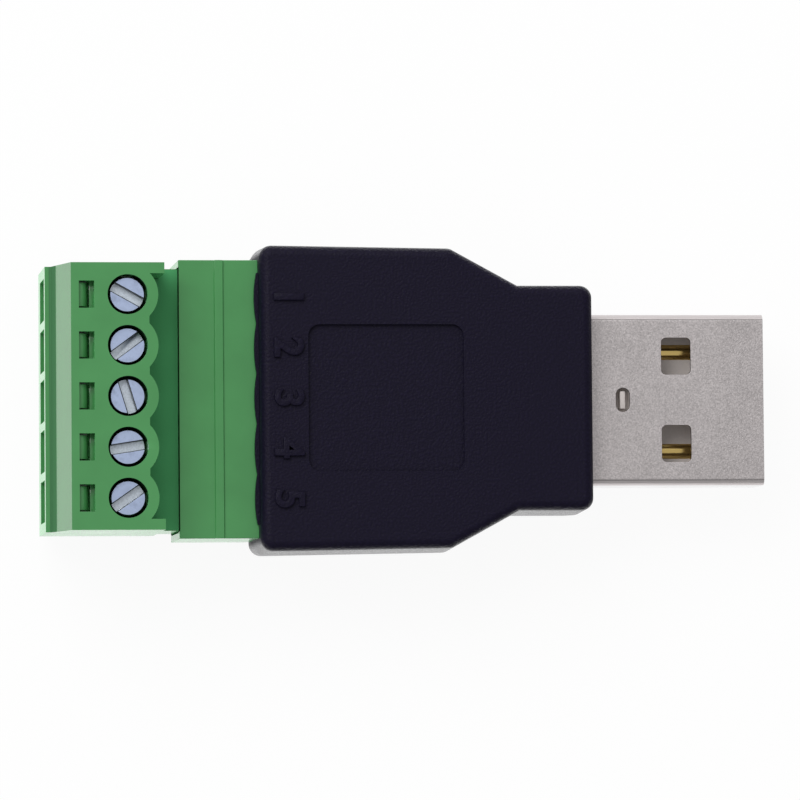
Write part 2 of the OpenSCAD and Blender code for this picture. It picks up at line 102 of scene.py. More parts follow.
class AdapterSizes(bpy.types.PropertyGroup):
    """Sizes of the roundings, the zones of a finish and the small forms"""
    housing_edge: FloatProperty(
        name="Housing edge", description="Rounding of the green housings' edges",
        default=0.06 * MM, unit="LENGTH", precision=6)
    rib_size: FloatVectorProperty(
        name="Slot rib", description="Length, width and height of the rib in a test slot",
        default=(0.32 * MM, 1.92 * MM, 0.8 * MM), subtype="XYZ", precision=6)
    rib_edge: FloatProperty(
        name="Slot rib edge", description="Rounding of the ribs' edges",
        default=0.02 * MM, unit="LENGTH", precision=6)
    rib_back: FloatProperty(
        name="Slot rib back", description="Distance from the wire face to the back of the ribs",
        default=3.17 * MM, unit="LENGTH", precision=6)
    rib_drop: FloatProperty(
        name="Slot rib drop", description="Depth of the ribs below the top of the plug",
        default=1.0 * MM, unit="LENGTH", precision=6)
    root_length: FloatProperty(
        name="Root length", description="Length of the plug's matt root, which the header takes",
        default=10.0 * MM, unit="LENGTH", precision=6)
    root_drop: FloatProperty(
        name="Root drop", description="Distance from the header's top down to the plug's root",
        default=0.75 * MM, unit="LENGTH", precision=6)
    root_inset: FloatProperty(
        name="Root inset", description="Distance from the plug's sides to its matt root",
        default=0.15 * MM, unit="LENGTH", precision=6)
    ledge_drop: FloatProperty(
        name="Ledge drop", description="Distance from the plug's top down to its ledge",
        default=4.0 * MM, unit="LENGTH", precision=6)
    hollow_from: FloatProperty(
        name="Hollow start", description="Distance from the wire face to the start of the hollow",
        default=0.28 * MM, unit="LENGTH", precision=6)
    hollow_to: FloatProperty(
        name="Hollow end", description="Distance from the wire face to the end of the hollow",
        default=0.7 * MM, unit="LENGTH", precision=6)
    hollow_height: FloatProperty(
        name="Hollow height", description="Height of the hollow above the plug's ledge",
        default=1.2 * MM, unit="LENGTH", precision=6)
    slope_to: FloatProperty(
        name="Slope end", description="Distance from the wire face to the top of the slope",
        default=1.55 * MM, unit="LENGTH", precision=6)
    bore_reach: FloatProperty(
        name="Bore reach", description="How far the shade of a screw bore reaches past the screw",
        default=0.12 * MM, unit="LENGTH", precision=6)
    # Painted shadow: the rim of the header's mouth, in the plug's shade, is drawn dark.
    mouth_rim: FloatProperty(
        name="Mouth rim", description="Width of the dark rim of the header's mouth",
        default=0.05 * MM, unit="LENGTH", precision=6)
    mouth_side: FloatProperty(
        name="Mouth side", description="Thickness of the walls beside the header's mouth",
        default=0.5 * MM, unit="LENGTH", precision=6)
    vinyl_edge: FloatProperty(
        name="Body edge", description="Rounding of the panel and lip edges of the moulded body",
        default=0.04 * MM, unit="LENGTH", precision=6)
    sheet_edge: FloatProperty(
        name="Sheet edge", description="Rounding of the punched edges of the plug's shell",
        default=0.05 * MM, unit="LENGTH", precision=6)
    bend_line: FloatProperty(
        name="Bend line", description="Distance from the shell's side to the line of its fold",
        default=0.36 * MM, unit="LENGTH", precision=6)
    sheet_wall: FloatProperty(
        name="Sheet wall", description="Thickness of the shell's sheet",
        default=0.3 * MM, unit="LENGTH", precision=6)
    # Painted shade: the dark line beside the shell's fold.
    bend_width: FloatProperty(
        name="Bend line width", description="Half the width of the dark line at the shell's fold",
        default=0.03 * MM, unit="LENGTH", precision=6)
    # Painted highlight: the shell's fold is drawn brighter over this width.
    rub_width: FloatProperty(
        name="Rub width", description="Width over which the shell's fold turns bright",
        default=0.08 * MM, unit="LENGTH", precision=6)
    plated_skin: FloatProperty(
        name="Plated skin", description="Depth of the shell's bright skin at its punched edges",
        default=0.008 * MM, unit="LENGTH", precision=6)
    contact_edge: FloatProperty(
        name="Contact edge", description="Rounding of the contact strips' edges",
        default=0.02 * MM, unit="LENGTH", precision=6)
    screw_edge: FloatProperty(
        name="Screw edge", description="Rounding of the screws' edges",
        default=0.03 * MM, unit="LENGTH", precision=6)
    slot_edge: FloatProperty(
        name="Slot edge", description="Rounding of the long edges of the driver slots",
        default=0.07 * MM, unit="LENGTH", precision=6)
    slot_length: FloatProperty(
        name="Slot length", description="Length above which a head's edge is a driver slot's",
        default=1.5 * MM, unit="LENGTH", precision=6)
    driver_slot: FloatProperty(
        name="Driver slot", description="Depth of the driver slots in the screw heads",
        default=0.7 * MM, unit="LENGTH", precision=6)
    header_reach: FloatProperty(
        name="Header reach", description="How far the pin header stands out of the body",
        default=5.4 * MM, unit="LENGTH", precision=6)
    matt_length: FloatProperty(
        name="Matt length", description="Length of the body's top that is matt all over",
        default=14.8 * MM, unit="LENGTH", precision=6)
    matt_side: FloatProperty(
        name="Matt side", description="Half the width of the top that is matt all over",
        default=8.2 * MM, unit="LENGTH", precision=6)
    matt_depth: FloatProperty(
        name="Matt depth", description="Depth and height of the top's matt relief",
        default=0.4 * MM, unit="LENGTH", precision=6)
    numeral_height: FloatProperty(
        name="Numeral height", description="Height of the raised terminal numerals",
        default=2.1 * MM, unit="LENGTH", precision=6)
    numeral_rise: FloatProperty(
        name="Numeral rise", description="How far the numerals stand out of the body",
        default=0.26 * MM, unit="LENGTH", precision=6)
    numeral_setback: FloatProperty(
        name="Numeral setback", description="Distance from the front of the body to the numerals",
        default=1.1 * MM, unit="LENGTH", precision=6)


class AdapterColours(bpy.types.PropertyGroup):
    """Colours of the finishes"""
    polyamide: FloatVectorProperty(
        name="Housing green", description="Colour of the terminal plug and the header",
        default=linear("#458a4f"), size=4, subtype="COLOR", min=0, max=1)
    # Painted sheen: the green that walls seen at a slant are mixed towards.
    glow: FloatVectorProperty(
        name="Housing glow", description="Colour of the housings' sheen, seen at a slant",
        default=linear("#5dd576"), size=4, subtype="COLOR", min=0, max=1)
    # Painted shade: the darker green of the hollow where the plug's ledge meets its slope.
    hollow: FloatVectorProperty(
        name="Hollow green", description="Colour of the hollow at the foot of the plug's slope",
        default=linear("#477650"), size=4, subtype="COLOR", min=0, max=1)
    # Painted bounce light: a lighter, bluer copy of the housing green for the plug's root in the
    # gap.
    root: FloatVectorProperty(
        name="Root green", description="Colour of the plug's matt root",
        default=linear("#509f67"), size=4, subtype="COLOR", min=0, max=1)
    # Painted shade: the dark green drawn into the screw bores and the header's mouth.
    shaded: FloatVectorProperty(
        name="Shaded green", description="Colour of the screw bores and the header's mouth",
        default=linear("#1b3520"), size=4, subtype="COLOR", min=0, max=1)
    vinyl: FloatVectorProperty(
        name="Body black", description="Colour of the moulded body",
        default=linear("#110d20"), size=4, subtype="COLOR", min=0, max=1)
    zinc: FloatVectorProperty(
        name="Screw zinc", description="Colour of the plated screws",
        default=linear("#b1bfdd"), size=4, subtype="COLOR", min=0, max=1)
    milled: FloatVectorProperty(
        name="Slot steel", description="Colour of the thinly plated floor of the driver slots",
        default=linear("#bec7d1"), size=4, subtype="COLOR", min=0, max=1)
    nickel: FloatVectorProperty(
        name="Shell nickel", description="Colour of the plug's plated shell",
        default=linear("#c1bbbb"), size=4, subtype="COLOR", min=0, max=1)
    gold: FloatVectorProperty(
        name="Contact gold", description="Colour of the plug's contact strips",
        default=linear("#d8bc76"), size=4, subtype="COLOR", min=0, max=1)
    insulator: FloatVectorProperty(
        name="Insulator", description="Colour of the plug's insulator",
        default=linear("#cac2be"), size=4, subtype="COLOR", min=0, max=1)
    laminate: FloatVectorProperty(
        name="Board green", description="Colour of the circuit board's coating",
        default=linear("#23613d"), size=4, subtype="COLOR", min=0, max=1)
    brass: FloatVectorProperty(
        name="Clamp brass", description="Colour of the clamp cages and the socket contacts",
        default=linear("#d3b878"), size=4, subtype="COLOR", min=0, max=1)
    tin: FloatVectorProperty(
        name="Pin tin", description="Colour of the header's pins",
        default=linear("#cfd0d2"), size=4, subtype="COLOR", min=0, max=1)
    floor: FloatVectorProperty(
        name="Floor", description="Colour of the floor under the adapter",
        default=linear("#f4f4f4"), size=4, subtype="COLOR", min=0, max=1)


class AdapterStage(bpy.types.PropertyGroup):
    """Places and strengths of the camera, the light tent, the key light and the paper"""
    camera_place: FloatVectorProperty(
        name="Camera place", description="Where the camera stands",
        default=(-52.18 * MM, -25.90 * MM, 435.73 * MM), subtype="TRANSLATION", precision=5)
    camera_turn: FloatVectorProperty(
        name="Camera turn", description="How the camera is turned",
        default=(math.radians(3.4939), math.radians(-6.8572), math.radians(-0.4848)),
        subtype="EULER")
    camera_lens: FloatProperty(
        name="Camera lens", description="Focal length in millimetres",
        default=278.61, unit="CAMERA")
    tent_top: FloatProperty(
        name="Tent top", description="Strength of the light tent overhead", default=0.6)
    tent_lean: FloatVectorProperty(
        name="Tent lean", description="Direction of the bright wall of the tent",
        default=(-0.6, 0.8, 0.0), subtype="DIRECTION")
    tent_far: FloatProperty(
        name="Tent, bright wall", description="Strength of the light tent on its bright side",
        default=0.95)
    tent_near: FloatProperty(
        name="Tent, dim wall", description="Strength of the light tent on its dim side",
        default=0.25)
    tent_eaves: FloatProperty(
        name="Tent eaves", description="Height, on a unit sphere, at which the walls end",
        default=0.6)
    tent_ridge: FloatProperty(
        name="Tent ridge", description="Height, on a unit sphere, at which the top is reached",
        default=0.95)
    key_power: FloatProperty(
        name="Key light", description="Power of the soft light on the terminal 1 side",
        default=2.2, unit="POWER")
    key_place: FloatVectorProperty(
        name="Key place", description="Where the soft light hangs",
        default=(-0.24, 0.29, 0.48), subtype="TRANSLATION")
    key_size: FloatProperty(
        name="Key size", description="Side of the soft light", default=0.4, unit="LENGTH")
    paper_size: FloatProperty(
        name="Paper size", description="Side of the paper", default=4.0, unit="LENGTH")
    paper_gap: FloatProperty(
        name="Paper gap", description="How far the paper lies under the adapter",
        default=0.02 * MM, unit="LENGTH", precision=6)
    floor_glow: FloatProperty(
        name="Floor glow", description="Share of plain white in the floor, as the camera sees it",
        default=0.93, min=0, max=1, subtype="FACTOR")


# Finishes


def add(tree, kind, sockets=(), **settings):
    """Adds a node. A socket's value is a number, a colour, or a node with the output to link."""
    node = tree.nodes.new(kind)
    for name, value in settings.items():
        setattr(node, name, value)
    for socket, value in dict(sockets).items():
        if isinstance(value, tuple) and isinstance(value[0], bpy.types.Node):
            source, output = value
            tree.links.new(source.outputs[output], node.inputs[socket])
        else:
            node.inputs[socket].default_value = value
    return node


# The colour inputs of a Mix node and its colour output, by number, because their names repeat.
MIX_A, MIX_B, MIX_COLOUR = 6, 7, 2


def shade(colour, level):
    """The same colour, lighter or darker."""
    return [min(1.0, part * level) for part in colour[:3]] + [1.0]


def new_finish(name):
    """An empty material and its node tree."""
    finish = bpy.data.materials.new(name)
    finish.use_nodes = True
    finish.node_tree.nodes.clear()
    return finish, finish.node_tree


def within(tree, place, low, high):
    """One inside the box between two corners and nothing outside it."""
    middle = [(a + b) / 2 for a, b in zip(low, high)]
    reach = [(b - a) / 2 for a, b in zip(low, high)]
    offset = add(tree, "ShaderNodeVectorMath", {
        0: (place, "Object"), 1: middle}, operation="SUBTRACT")
    distance = add(tree, "ShaderNodeVectorMath", {0: (offset, 0)}, operation="ABSOLUTE")
    past = add(tree, "ShaderNodeVectorMath", {
        0: (distance, 0), 1: reach}, operation="SUBTRACT")
    axes = add(tree, "ShaderNodeSeparateXYZ", {0: (past, 0)})
    flat = add(tree, "ShaderNodeMath", {
        0: (axes, "X"), 1: (axes, "Y")}, operation="MAXIMUM")
    most = add(tree, "ShaderNodeMath", {0: (flat, 0), 1: (axes, "Z")}, operation="MAXIMUM")
    return add(tree, "ShaderNodeMath", {0: (most, 0), 1: 0.0}, operation="LESS_THAN")


# Polyamide from a polished tool: a satin skin, even in colour, with faint flow clouds and the
# slight orange peel of a moulded wall. Walls seen at a slant take a painted sheen, a brighter
# green mixed into the base colour, and a polished zone has a clear gloss. Root, bores, mouth and
# hollow are matt zones with painted colours: the root a lighter, bluer green that is painted
# bounce light, the others a darker green that is painted shade.
def moulded_polyamide(colours, matt_zones, polished=None):
    finish, tree = new_finish("Polyamide, moulded satin")
    place = add(tree, "ShaderNodeTexCoord")
    clouds = add(tree, "ShaderNodeTexNoise", {
        "Vector": (place, "Object"), "Scale": per_metre(4.0), "Detail": 3.0, "Roughness": 0.6})
    tint = add(tree, "ShaderNodeMix", {
        "Factor": (clouds, 0), MIX_A: shade(colours.polyamide, 0.85),
        MIX_B: shade(colours.polyamide, 1.15)}, data_type="RGBA")
    gloss = add(tree, "ShaderNodeMapRange", {
        "Value": (clouds, 0), "From Min": 0.3, "From Max": 0.7, "To Min": 0.13, "To Max": 0.19})
    peel = add(tree, "ShaderNodeTexNoise", {
        "Vector": (place, "Object"), "Scale": per_metre(0.25), "Detail": 2.0})
    bump = add(tree, "ShaderNodeBump", {
        "Height": (peel, 0), "Strength": 0.12, "Distance": 0.01 * MM})
    # Painted sheen: on walls seen at a slant the base colour turns towards the glow colour.
    slant = add(tree, "ShaderNodeLayerWeight", {"Blend": 0.5})
    painted_sheen_share = add(tree, "ShaderNodeMapRange", {
        "Value": (slant, "Facing"), "From Min": 0.8, "From Max": 0.95})
    glow = add(tree, "ShaderNodeMix", {
        "Factor": (painted_sheen_share, 0), MIX_A: (tint, MIX_COLOUR), MIX_B: list(colours.glow)},
        data_type="RGBA")
    wall, mirror = (glow, MIX_COLOUR), 0.5
    for matt_colour, corners in matt_zones:
        inner = within(tree, place, *corners)
        wall = (add(tree, "ShaderNodeMix", {
            "Factor": (inner, 0), MIX_A: wall, MIX_B: list(matt_colour)},
            data_type="RGBA"), MIX_COLOUR)
        mirror = (add(tree, "ShaderNodeMapRange", {
            "Value": (inner, 0), "To Min": mirror, "To Max": 0.0}), 0)
    sockets = {
        "Base Color": wall, "Roughness": (gloss, 0), "Normal": (bump, 0), "IOR": 1.53,
        "Specular IOR Level": mirror}
    if polished:
        bright = within(tree, place, *polished)
        coat = add(tree, "ShaderNodeMapRange", {"Value": (bright, 0), "To Max": 0.5})
        sockets.update({
            "Coat Weight": (coat, 0), "Coat Roughness": 0.1, "Coat Normal": (bump, 0)})
    skin = add(tree, "ShaderNodeBsdfPrincipled", sockets)
    add(tree, "ShaderNodeOutputMaterial", {"Surface": (skin, 0)})
    return finish


# Soft vinyl from a spark-eroded tool: a matt, pebbled black with grain crests rubbed a little
# paler. Its flanks have a satin gloss that grows as they turn away from the eye, broken up by the
# grain. The top with its panel and numerals is a matt zone.
def spark_eroded_vinyl(colour, matt_zone):
    finish, tree = new_finish("Vinyl, spark-eroded matt")
    place = add(tree, "ShaderNodeTexCoord")
    pebbles = add(tree, "ShaderNodeTexNoise", {
        "Vector": (place, "Object"), "Scale": per_metre(0.17), "Detail": 2.0, "Roughness": 0.5})
    haze = add(tree, "ShaderNodeTexNoise", {
        "Vector": (place, "Object"), "Scale": per_metre(3.0), "Detail": 2.0})
    crest = add(tree, "ShaderNodeMapRange", {
        "Value": (pebbles, 0), "From Min": 0.45, "From Max": 0.75})
    tint = add(tree, "ShaderNodeMix", {
        "Factor": (crest, 0), MIX_A: shade(colour, 0.9), MIX_B: shade(colour, 1.4)},
        data_type="RGBA")
    gloss = add(tree, "ShaderNodeMapRange", {
        "Value": (haze, 0), "From Min": 0.3, "From Max": 0.7, "To Min": 0.42, "To Max": 0.52})
    bump = add(tree, "ShaderNodeBump", {
        "Height": (pebbles, 0), "Strength": 1.0, "Distance": 0.04 * MM})
    relief = add(tree, "ShaderNodeBump", {
        "Height": (pebbles, 0), "Strength": 1.0, "Distance": 0.08 * MM})
    edge_on = add(tree, "ShaderNodeLayerWeight", {"Blend": 0.5, "Normal": (relief, 0)})
    slant = add(tree, "ShaderNodeMapRange", {
        "Value": (edge_on, "Facing"), "From Min": 0.3, "From Max": 0.8})
    surface = add(tree, "ShaderNodeNewGeometry")
    tilt = add(tree, "ShaderNodeSeparateXYZ", {0: (surface, "Normal")})
    sideways = add(tree, "ShaderNodeMath", {0: (tilt, "Y")}, operation="ABSOLUTE")
    flank = add(tree, "ShaderNodeMapRange", {
        "Value": (sideways, 0), "From Min": 0.1, "From Max": 0.5})
    satin = add(tree, "ShaderNodeMath", {
        0: (slant, 0), 1: (flank, 0)}, operation="MULTIPLY")
    matt = within(tree, place, *matt_zone)
    coat = add(tree, "ShaderNodeMapRange", {
        "Value": (matt, 0), "To Min": (satin, 0), "To Max": 0.0})
    skin = add(tree, "ShaderNodeBsdfPrincipled", {
        "Base Color": (tint, MIX_COLOUR), "Roughness": (gloss, 0), "Normal": (bump, 0),
        "IOR": 1.53, "Specular IOR Level": 0.1, "Coat Weight": (coat, 0),
        "Coat Roughness": 0.27, "Coat Normal": (relief, 0)})
    add(tree, "ShaderNodeOutputMaterial", {"Surface": (skin, 0)})
    return finish


# Zinc plate with a blue passivation: a cool, bright metal, dulled in clouds by handling, with
# fine straight driver scratches. Below the head's top face, the slot's sides and the head's rim
# are painted near black, painted shade. The driver slot is plated thinly, so its floor is a
# speckled steel grey.
def blue_zinc(colour, milled, head_top, slot_floor):
    finish, tree = new_finish("Zinc plate, blue passivated")
    place = add(tree, "ShaderNodeTexCoord")
    smudges = add(tree, "ShaderNodeTexNoise", {
        "Vector": (place, "Object"), "Scale": per_metre(0.7), "Detail": 4.0, "Roughness": 0.6})
    turned = add(tree, "ShaderNodeMapping", {
        "Vector": (place, "Object"), "Rotation": (0.0, 0.0, math.radians(38)),
        "Scale": (per_metre(1.2), per_metre(0.06), per_metre(1.2))})
    scratches = add(tree, "ShaderNodeTexNoise", {
        "Vector": (turned, 0), "Scale": 1.0, "Detail": 2.0})
    dull = add(tree, "ShaderNodeMapRange", {
        "Value": (smudges, 0), "From Min": 0.5, "From Max": 0.72})
    face = add(tree, "ShaderNodeMix", {
        "Factor": (dull, 0), MIX_A: list(colour), MIX_B: shade(colour, 0.72)}, data_type="RGBA")
    specks = add(tree, "ShaderNodeTexNoise", {
        "Vector": (place, "Object"), "Scale": per_metre(0.12), "Detail": 3.0})
    floor = add(tree, "ShaderNodeMix", {
        "Factor": (specks, 0), MIX_A: shade(milled, 0.8), MIX_B: shade(milled, 1.5)},
        data_type="RGBA")
    height = add(tree, "ShaderNodeSeparateXYZ", {0: (place, "Object")})
    # Painted shade: between the head's top face and the slot's floor all is drawn near black.
    rim_top, rim_foot = head_top - 0.001 * MM, head_top - 0.003 * MM
    painted_shade_below_top = add(tree, "ShaderNodeMapRange", {
        "Value": (height, "Z"), "From Min": rim_foot, "From Max": rim_top,
        "To Min": 1.0, "To Max": 0.0})
    floor_top, floor_foot = slot_floor + 0.06 * MM, slot_floor + 0.02 * MM
    deep = add(tree, "ShaderNodeMapRange", {
        "Value": (height, "Z"), "From Min": floor_foot, "From Max": floor_top,
        "To Min": 1.0, "To Max": 0.0})
    sides = add(tree, "ShaderNodeMix", {
        "Factor": (painted_shade_below_top, 0), MIX_A: (face, MIX_COLOUR), MIX_B: shade(milled, 0.12)},
        data_type="RGBA")
    tint = add(tree, "ShaderNodeMix", {
        "Factor": (deep, 0), MIX_A: (sides, MIX_COLOUR), MIX_B: (floor, MIX_COLOUR)},
        data_type="RGBA")
    gloss = add(tree, "ShaderNodeMapRange", {
        "Value": (smudges, 0), "From Min": 0.3, "From Max": 0.7, "To Min": 0.28, "To Max": 0.45})
    bump = add(tree, "ShaderNodeBump", {
        "Height": (scratches, 0), "Strength": 0.15, "Distance": 0.01 * MM})
    skin = add(tree, "ShaderNodeBsdfPrincipled", {
        "Base Color": (tint, MIX_COLOUR), "Roughness": (gloss, 0), "Normal": (bump, 0),
        "Metallic": 1.0})
    add(tree, "ShaderNodeOutputMaterial", {"Surface": (skin, 0)})
    return finish


# Nickel on tumbled sheet steel: a warm grey metal with an even, sparkling grain and a gloss that
# flashes edge-on, a painted highlight mixed into the base colour. A dark line beside each fold is
# painted shade, the folds themselves are painted bright as a painted highlight, and the walls
# inside the sheet's thickness at the punched edges are drawn dark.
# The real grain is about 0.04 mm and is drawn at 0.1 mm, so that it shows.
def tumbled_nickel(colour, sizes, bend_line, punched):
    finish, tree = new_finish("Nickel plate, tumbled sheet")
    place = add(tree, "ShaderNodeTexCoord")
    grain = add(tree, "ShaderNodeTexNoise", {
        "Vector": (place, "Object"), "Scale": per_metre(0.1), "Detail": 2.0, "Roughness": 0.6})
    clouds = add(tree, "ShaderNodeTexNoise", {
        "Vector": (place, "Object"), "Scale": per_metre(3.0), "Detail": 3.0})
    tint = add(tree, "ShaderNodeMix", {
        "Factor": (grain, 0), MIX_A: shade(colour, 0.4), MIX_B: shade(colour, 1.55)},
        data_type="RGBA")
    spread = add(tree, "ShaderNodeSeparateXYZ", {0: (place, "Object")})
    across = add(tree, "ShaderNodeMath", {0: (spread, "Y")}, operation="ABSOLUTE")
    # Painted shade: a dark line along the start of each fold.
    bend_shade = add(tree, "ShaderNodeMath", {
        0: (across, 0), 1: bend_line, 2: sizes.bend_width}, operation="COMPARE")
    # Painted highlight: beyond the bend line the fold is drawn brighter.
    fold_highlight = add(tree, "ShaderNodeMapRange", {
        "Value": (across, 0), "From Min": bend_line, "From Max": bend_line + sizes.rub_width})
    fold = add(tree, "ShaderNodeMix", {
        "Factor": (fold_highlight, 0), MIX_A: (tint, MIX_COLOUR), MIX_B: shade(colour, 1.3)},
        data_type="RGBA")
    sheet = add(tree, "ShaderNodeMix", {
        "Factor": (bend_shade, 0), MIX_A: (fold, MIX_COLOUR), MIX_B: shade(colour, 0.5)},
        data_type="RGBA")
    # Painted highlight: seen edge-on, the base colour is mixed towards twice the nickel's
    # brightness.
    slant = add(tree, "ShaderNodeLayerWeight", {"Blend": 0.5})
    edge_on = add(tree, "ShaderNodeMapRange", {
        "Value": (slant, "Facing"), "From Min": 0.8, "From Max": 0.93})
    flash = add(tree, "ShaderNodeMix", {
        "Factor": (edge_on, 0), MIX_A: (sheet, MIX_COLOUR), MIX_B: shade(colour, 2.0)},
        data_type="RGBA")
    # The walls inside the sheet's thickness, at the punched openings, are drawn dark.
    dark_cut_walls = within(tree, place, *punched)
    plate = add(tree, "ShaderNodeMix", {
        "Factor": (dark_cut_walls, 0), MIX_A: (flash, MIX_COLOUR), MIX_B: shade(colour, 0.25)},
        data_type="RGBA")
    gloss = add(tree, "ShaderNodeMapRange", {
        "Value": (clouds, 0), "From Min": 0.3, "From Max": 0.7, "To Min": 0.36, "To Max": 0.46})
    bump = add(tree, "ShaderNodeBump", {
        "Height": (grain, 0), "Strength": 0.8, "Distance": 0.02 * MM})
    skin = add(tree, "ShaderNodeBsdfPrincipled", {
        "Base Color": (plate, MIX_COLOUR), "Roughness": (gloss, 0), "Normal": (bump, 0),
        "Metallic": 1.0})
    add(tree, "ShaderNodeOutputMaterial", {"Surface": (skin, 0)})
    return finish


# Gold flash on rolled bronze: a deep yellow mirror, streaked along the strip by rolling.
def rolled_gold(colour):
    finish, tree = new_finish("Gold flash, rolled strip")
    place = add(tree, "ShaderNodeTexCoord")
    rolled = add(tree, "ShaderNodeMapping", {
        "Vector": (place, "Object"),
        "Scale": (per_metre(3.0), per_metre(0.12), per_metre(0.5))})
    streaks = add(tree, "ShaderNodeTexNoise", {"Vector": (rolled, 0), "Scale": 1.0, "Detail": 2.0})
    tint = add(tree, "ShaderNodeMix", {
        "Factor": (streaks, 0), MIX_A: shade(colour, 0.85), MIX_B: shade(colour, 1.1)},
        data_type="RGBA")
    gloss = add(tree, "ShaderNodeMapRange", {
        "Value": (streaks, 0), "From Min": 0.3, "From Max": 0.7, "To Min": 0.12, "To Max": 0.2})
    skin = add(tree, "ShaderNodeBsdfPrincipled", {
        "Base Color": (tint, MIX_COLOUR), "Roughness": (gloss, 0), "Metallic": 1.0})
    add(tree, "ShaderNodeOutputMaterial", {"Surface": (skin, 0)})
    return finish


# Glass-filled polyester, moulded: a pale, dry grey with the faint speckle of its fibres.
def filled_polyester(colour):
    finish, tree = new_finish("Polyester, glass filled")
    place = add(tree, "ShaderNodeTexCoord")
    fibres = add(tree, "ShaderNodeTexNoise", {
        "Vector": (place, "Object"), "Scale": per_metre(0.2), "Detail": 3.0})
    tint = add(tree, "ShaderNodeMix", {
        "Factor": (fibres, 0), MIX_A: shade(colour, 0.9), MIX_B: shade(colour, 1.08)},
        data_type="RGBA")
    gloss = add(tree, "ShaderNodeMapRange", {
        "Value": (fibres, 0), "From Min": 0.3, "From Max": 0.7, "To Min": 0.42, "To Max": 0.55})
    skin = add(tree, "ShaderNodeBsdfPrincipled", {
        "Base Color": (tint, MIX_COLOUR), "Roughness": (gloss, 0), "IOR": 1.57})
    add(tree, "ShaderNodeOutputMaterial", {"Surface": (skin, 0)})
    return finish


# Solder mask over woven glass: a glossy green coat that shows the weave below as a soft check.
def masked_laminate(colour):
    finish, tree = new_finish("Glass laminate, solder mask")
    place = add(tree, "ShaderNodeTexCoord")
    weave = add(tree, "ShaderNodeTexChecker", {
        "Vector": (place, "Object"), "Scale": per_metre(0.5),
        "Color1": shade(colour, 0.93), "Color2": shade(colour, 1.07)})
    coat = add(tree, "ShaderNodeTexNoise", {
        "Vector": (place, "Object"), "Scale": per_metre(1.0), "Detail": 2.0})
    gloss = add(tree, "ShaderNodeMapRange", {
        "Value": (coat, 0), "From Min": 0.3, "From Max": 0.7, "To Min": 0.2, "To Max": 0.32})
    skin = add(tree, "ShaderNodeBsdfPrincipled", {
        "Base Color": (weave, 0), "Roughness": (gloss, 0), "IOR": 1.55})
    add(tree, "ShaderNodeOutputMaterial", {"Surface": (skin, 0)})
    return finish


# Stamped brass with a thin nickel wash: a pale yellow metal with drawn die lines.
def stamped_brass(colour):
    finish, tree = new_finish("Brass, stamped")
    place = add(tree, "ShaderNodeTexCoord")
    drawn = add(tree, "ShaderNodeMapping", {
        "Vector": (place, "Object"),
        "Scale": (per_metre(0.8), per_metre(0.8), per_metre(0.08))})
    lines = add(tree, "ShaderNodeTexNoise", {"Vector": (drawn, 0), "Scale": 1.0, "Detail": 2.0})
    tint = add(tree, "ShaderNodeMix", {
        "Factor": (lines, 0), MIX_A: shade(colour, 0.85), MIX_B: shade(colour, 1.1)},
        data_type="RGBA")
    bump = add(tree, "ShaderNodeBump", {
        "Height": (lines, 0), "Strength": 0.2, "Distance": 0.01 * MM})
    skin = add(tree, "ShaderNodeBsdfPrincipled", {
        "Base Color": (tint, MIX_COLOUR), "Roughness": 0.32, "Normal": (bump, 0),
        "Metallic": 1.0})
    add(tree, "ShaderNodeOutputMaterial", {"Surface": (skin, 0)})
    return finish


# Reflowed tin on square wire: a soft grey shine, mottled where the tin froze.
def reflowed_tin(colour):
    finish, tree = new_finish("Tin plate, reflowed")
    place = add(tree, "ShaderNodeTexCoord")
    mottle = add(tree, "ShaderNodeTexNoise", {
        "Vector": (place, "Object"), "Scale": per_metre(0.5), "Detail": 3.0})
    tint = add(tree, "ShaderNodeMix", {
        "Factor": (mottle, 0), MIX_A: shade(colour, 0.85), MIX_B: shade(colour, 1.1)},
        data_type="RGBA")
    gloss = add(tree, "ShaderNodeMapRange", {
        "Value": (mottle, 0), "From Min": 0.3, "From Max": 0.7, "To Min": 0.22, "To Max": 0.36})
    skin = add(tree, "ShaderNodeBsdfPrincipled", {
        "Base Color": (tint, MIX_COLOUR), "Roughness": (gloss, 0), "Metallic": 1.0})
    add(tree, "ShaderNodeOutputMaterial", {"Surface": (skin, 0)})
    return finish


# Seamless white paper: an even matt white that keeps a soft shadow. Gloss on the pieces mirrors
# it as plain white.
def white_paper(colour, glow):
    finish, tree = new_finish("Paper, seamless white")
    seen = add(tree, "ShaderNodeLightPath")
    direct = add(tree, "ShaderNodeMath", {
        0: (seen, "Is Camera Ray"), 1: glow}, operation="MULTIPLY")
    share = add(tree, "ShaderNodeMath", {
        0: (direct, 0), 1: (seen, "Is Glossy Ray")}, operation="MAXIMUM")
    sheet = add(tree, "ShaderNodeBsdfDiffuse", {"Color": list(colour)})
    white = add(tree, "ShaderNodeEmission", {"Strength": 1.0})
    both = add(tree, "ShaderNodeMixShader", {0: (share, 0), 1: (sheet, 0), 2: (white, 0)})
    add(tree, "ShaderNodeOutputMaterial", {"Surface": (both, 0)})
    return finish


# Pieces


def pick_only(obj):
    """Selects one object and makes it the active one."""
    bpy.ops.object.select_all(action="DESELECT")
    obj.select_set(True)
    bpy.context.view_layer.objects.active = obj


def screw_y(pole):
    """Where a terminal stands along the row."""
    low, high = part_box(f"clamp_screw_{pole}")
    return (low.y + high.y) / 2


def dress(node, finish):
    """Gives a CAD node that stays as it is its finish."""
    node_object = frame["nodes"][node]
    for slot in node_object.material_slots:
        slot.material = finish


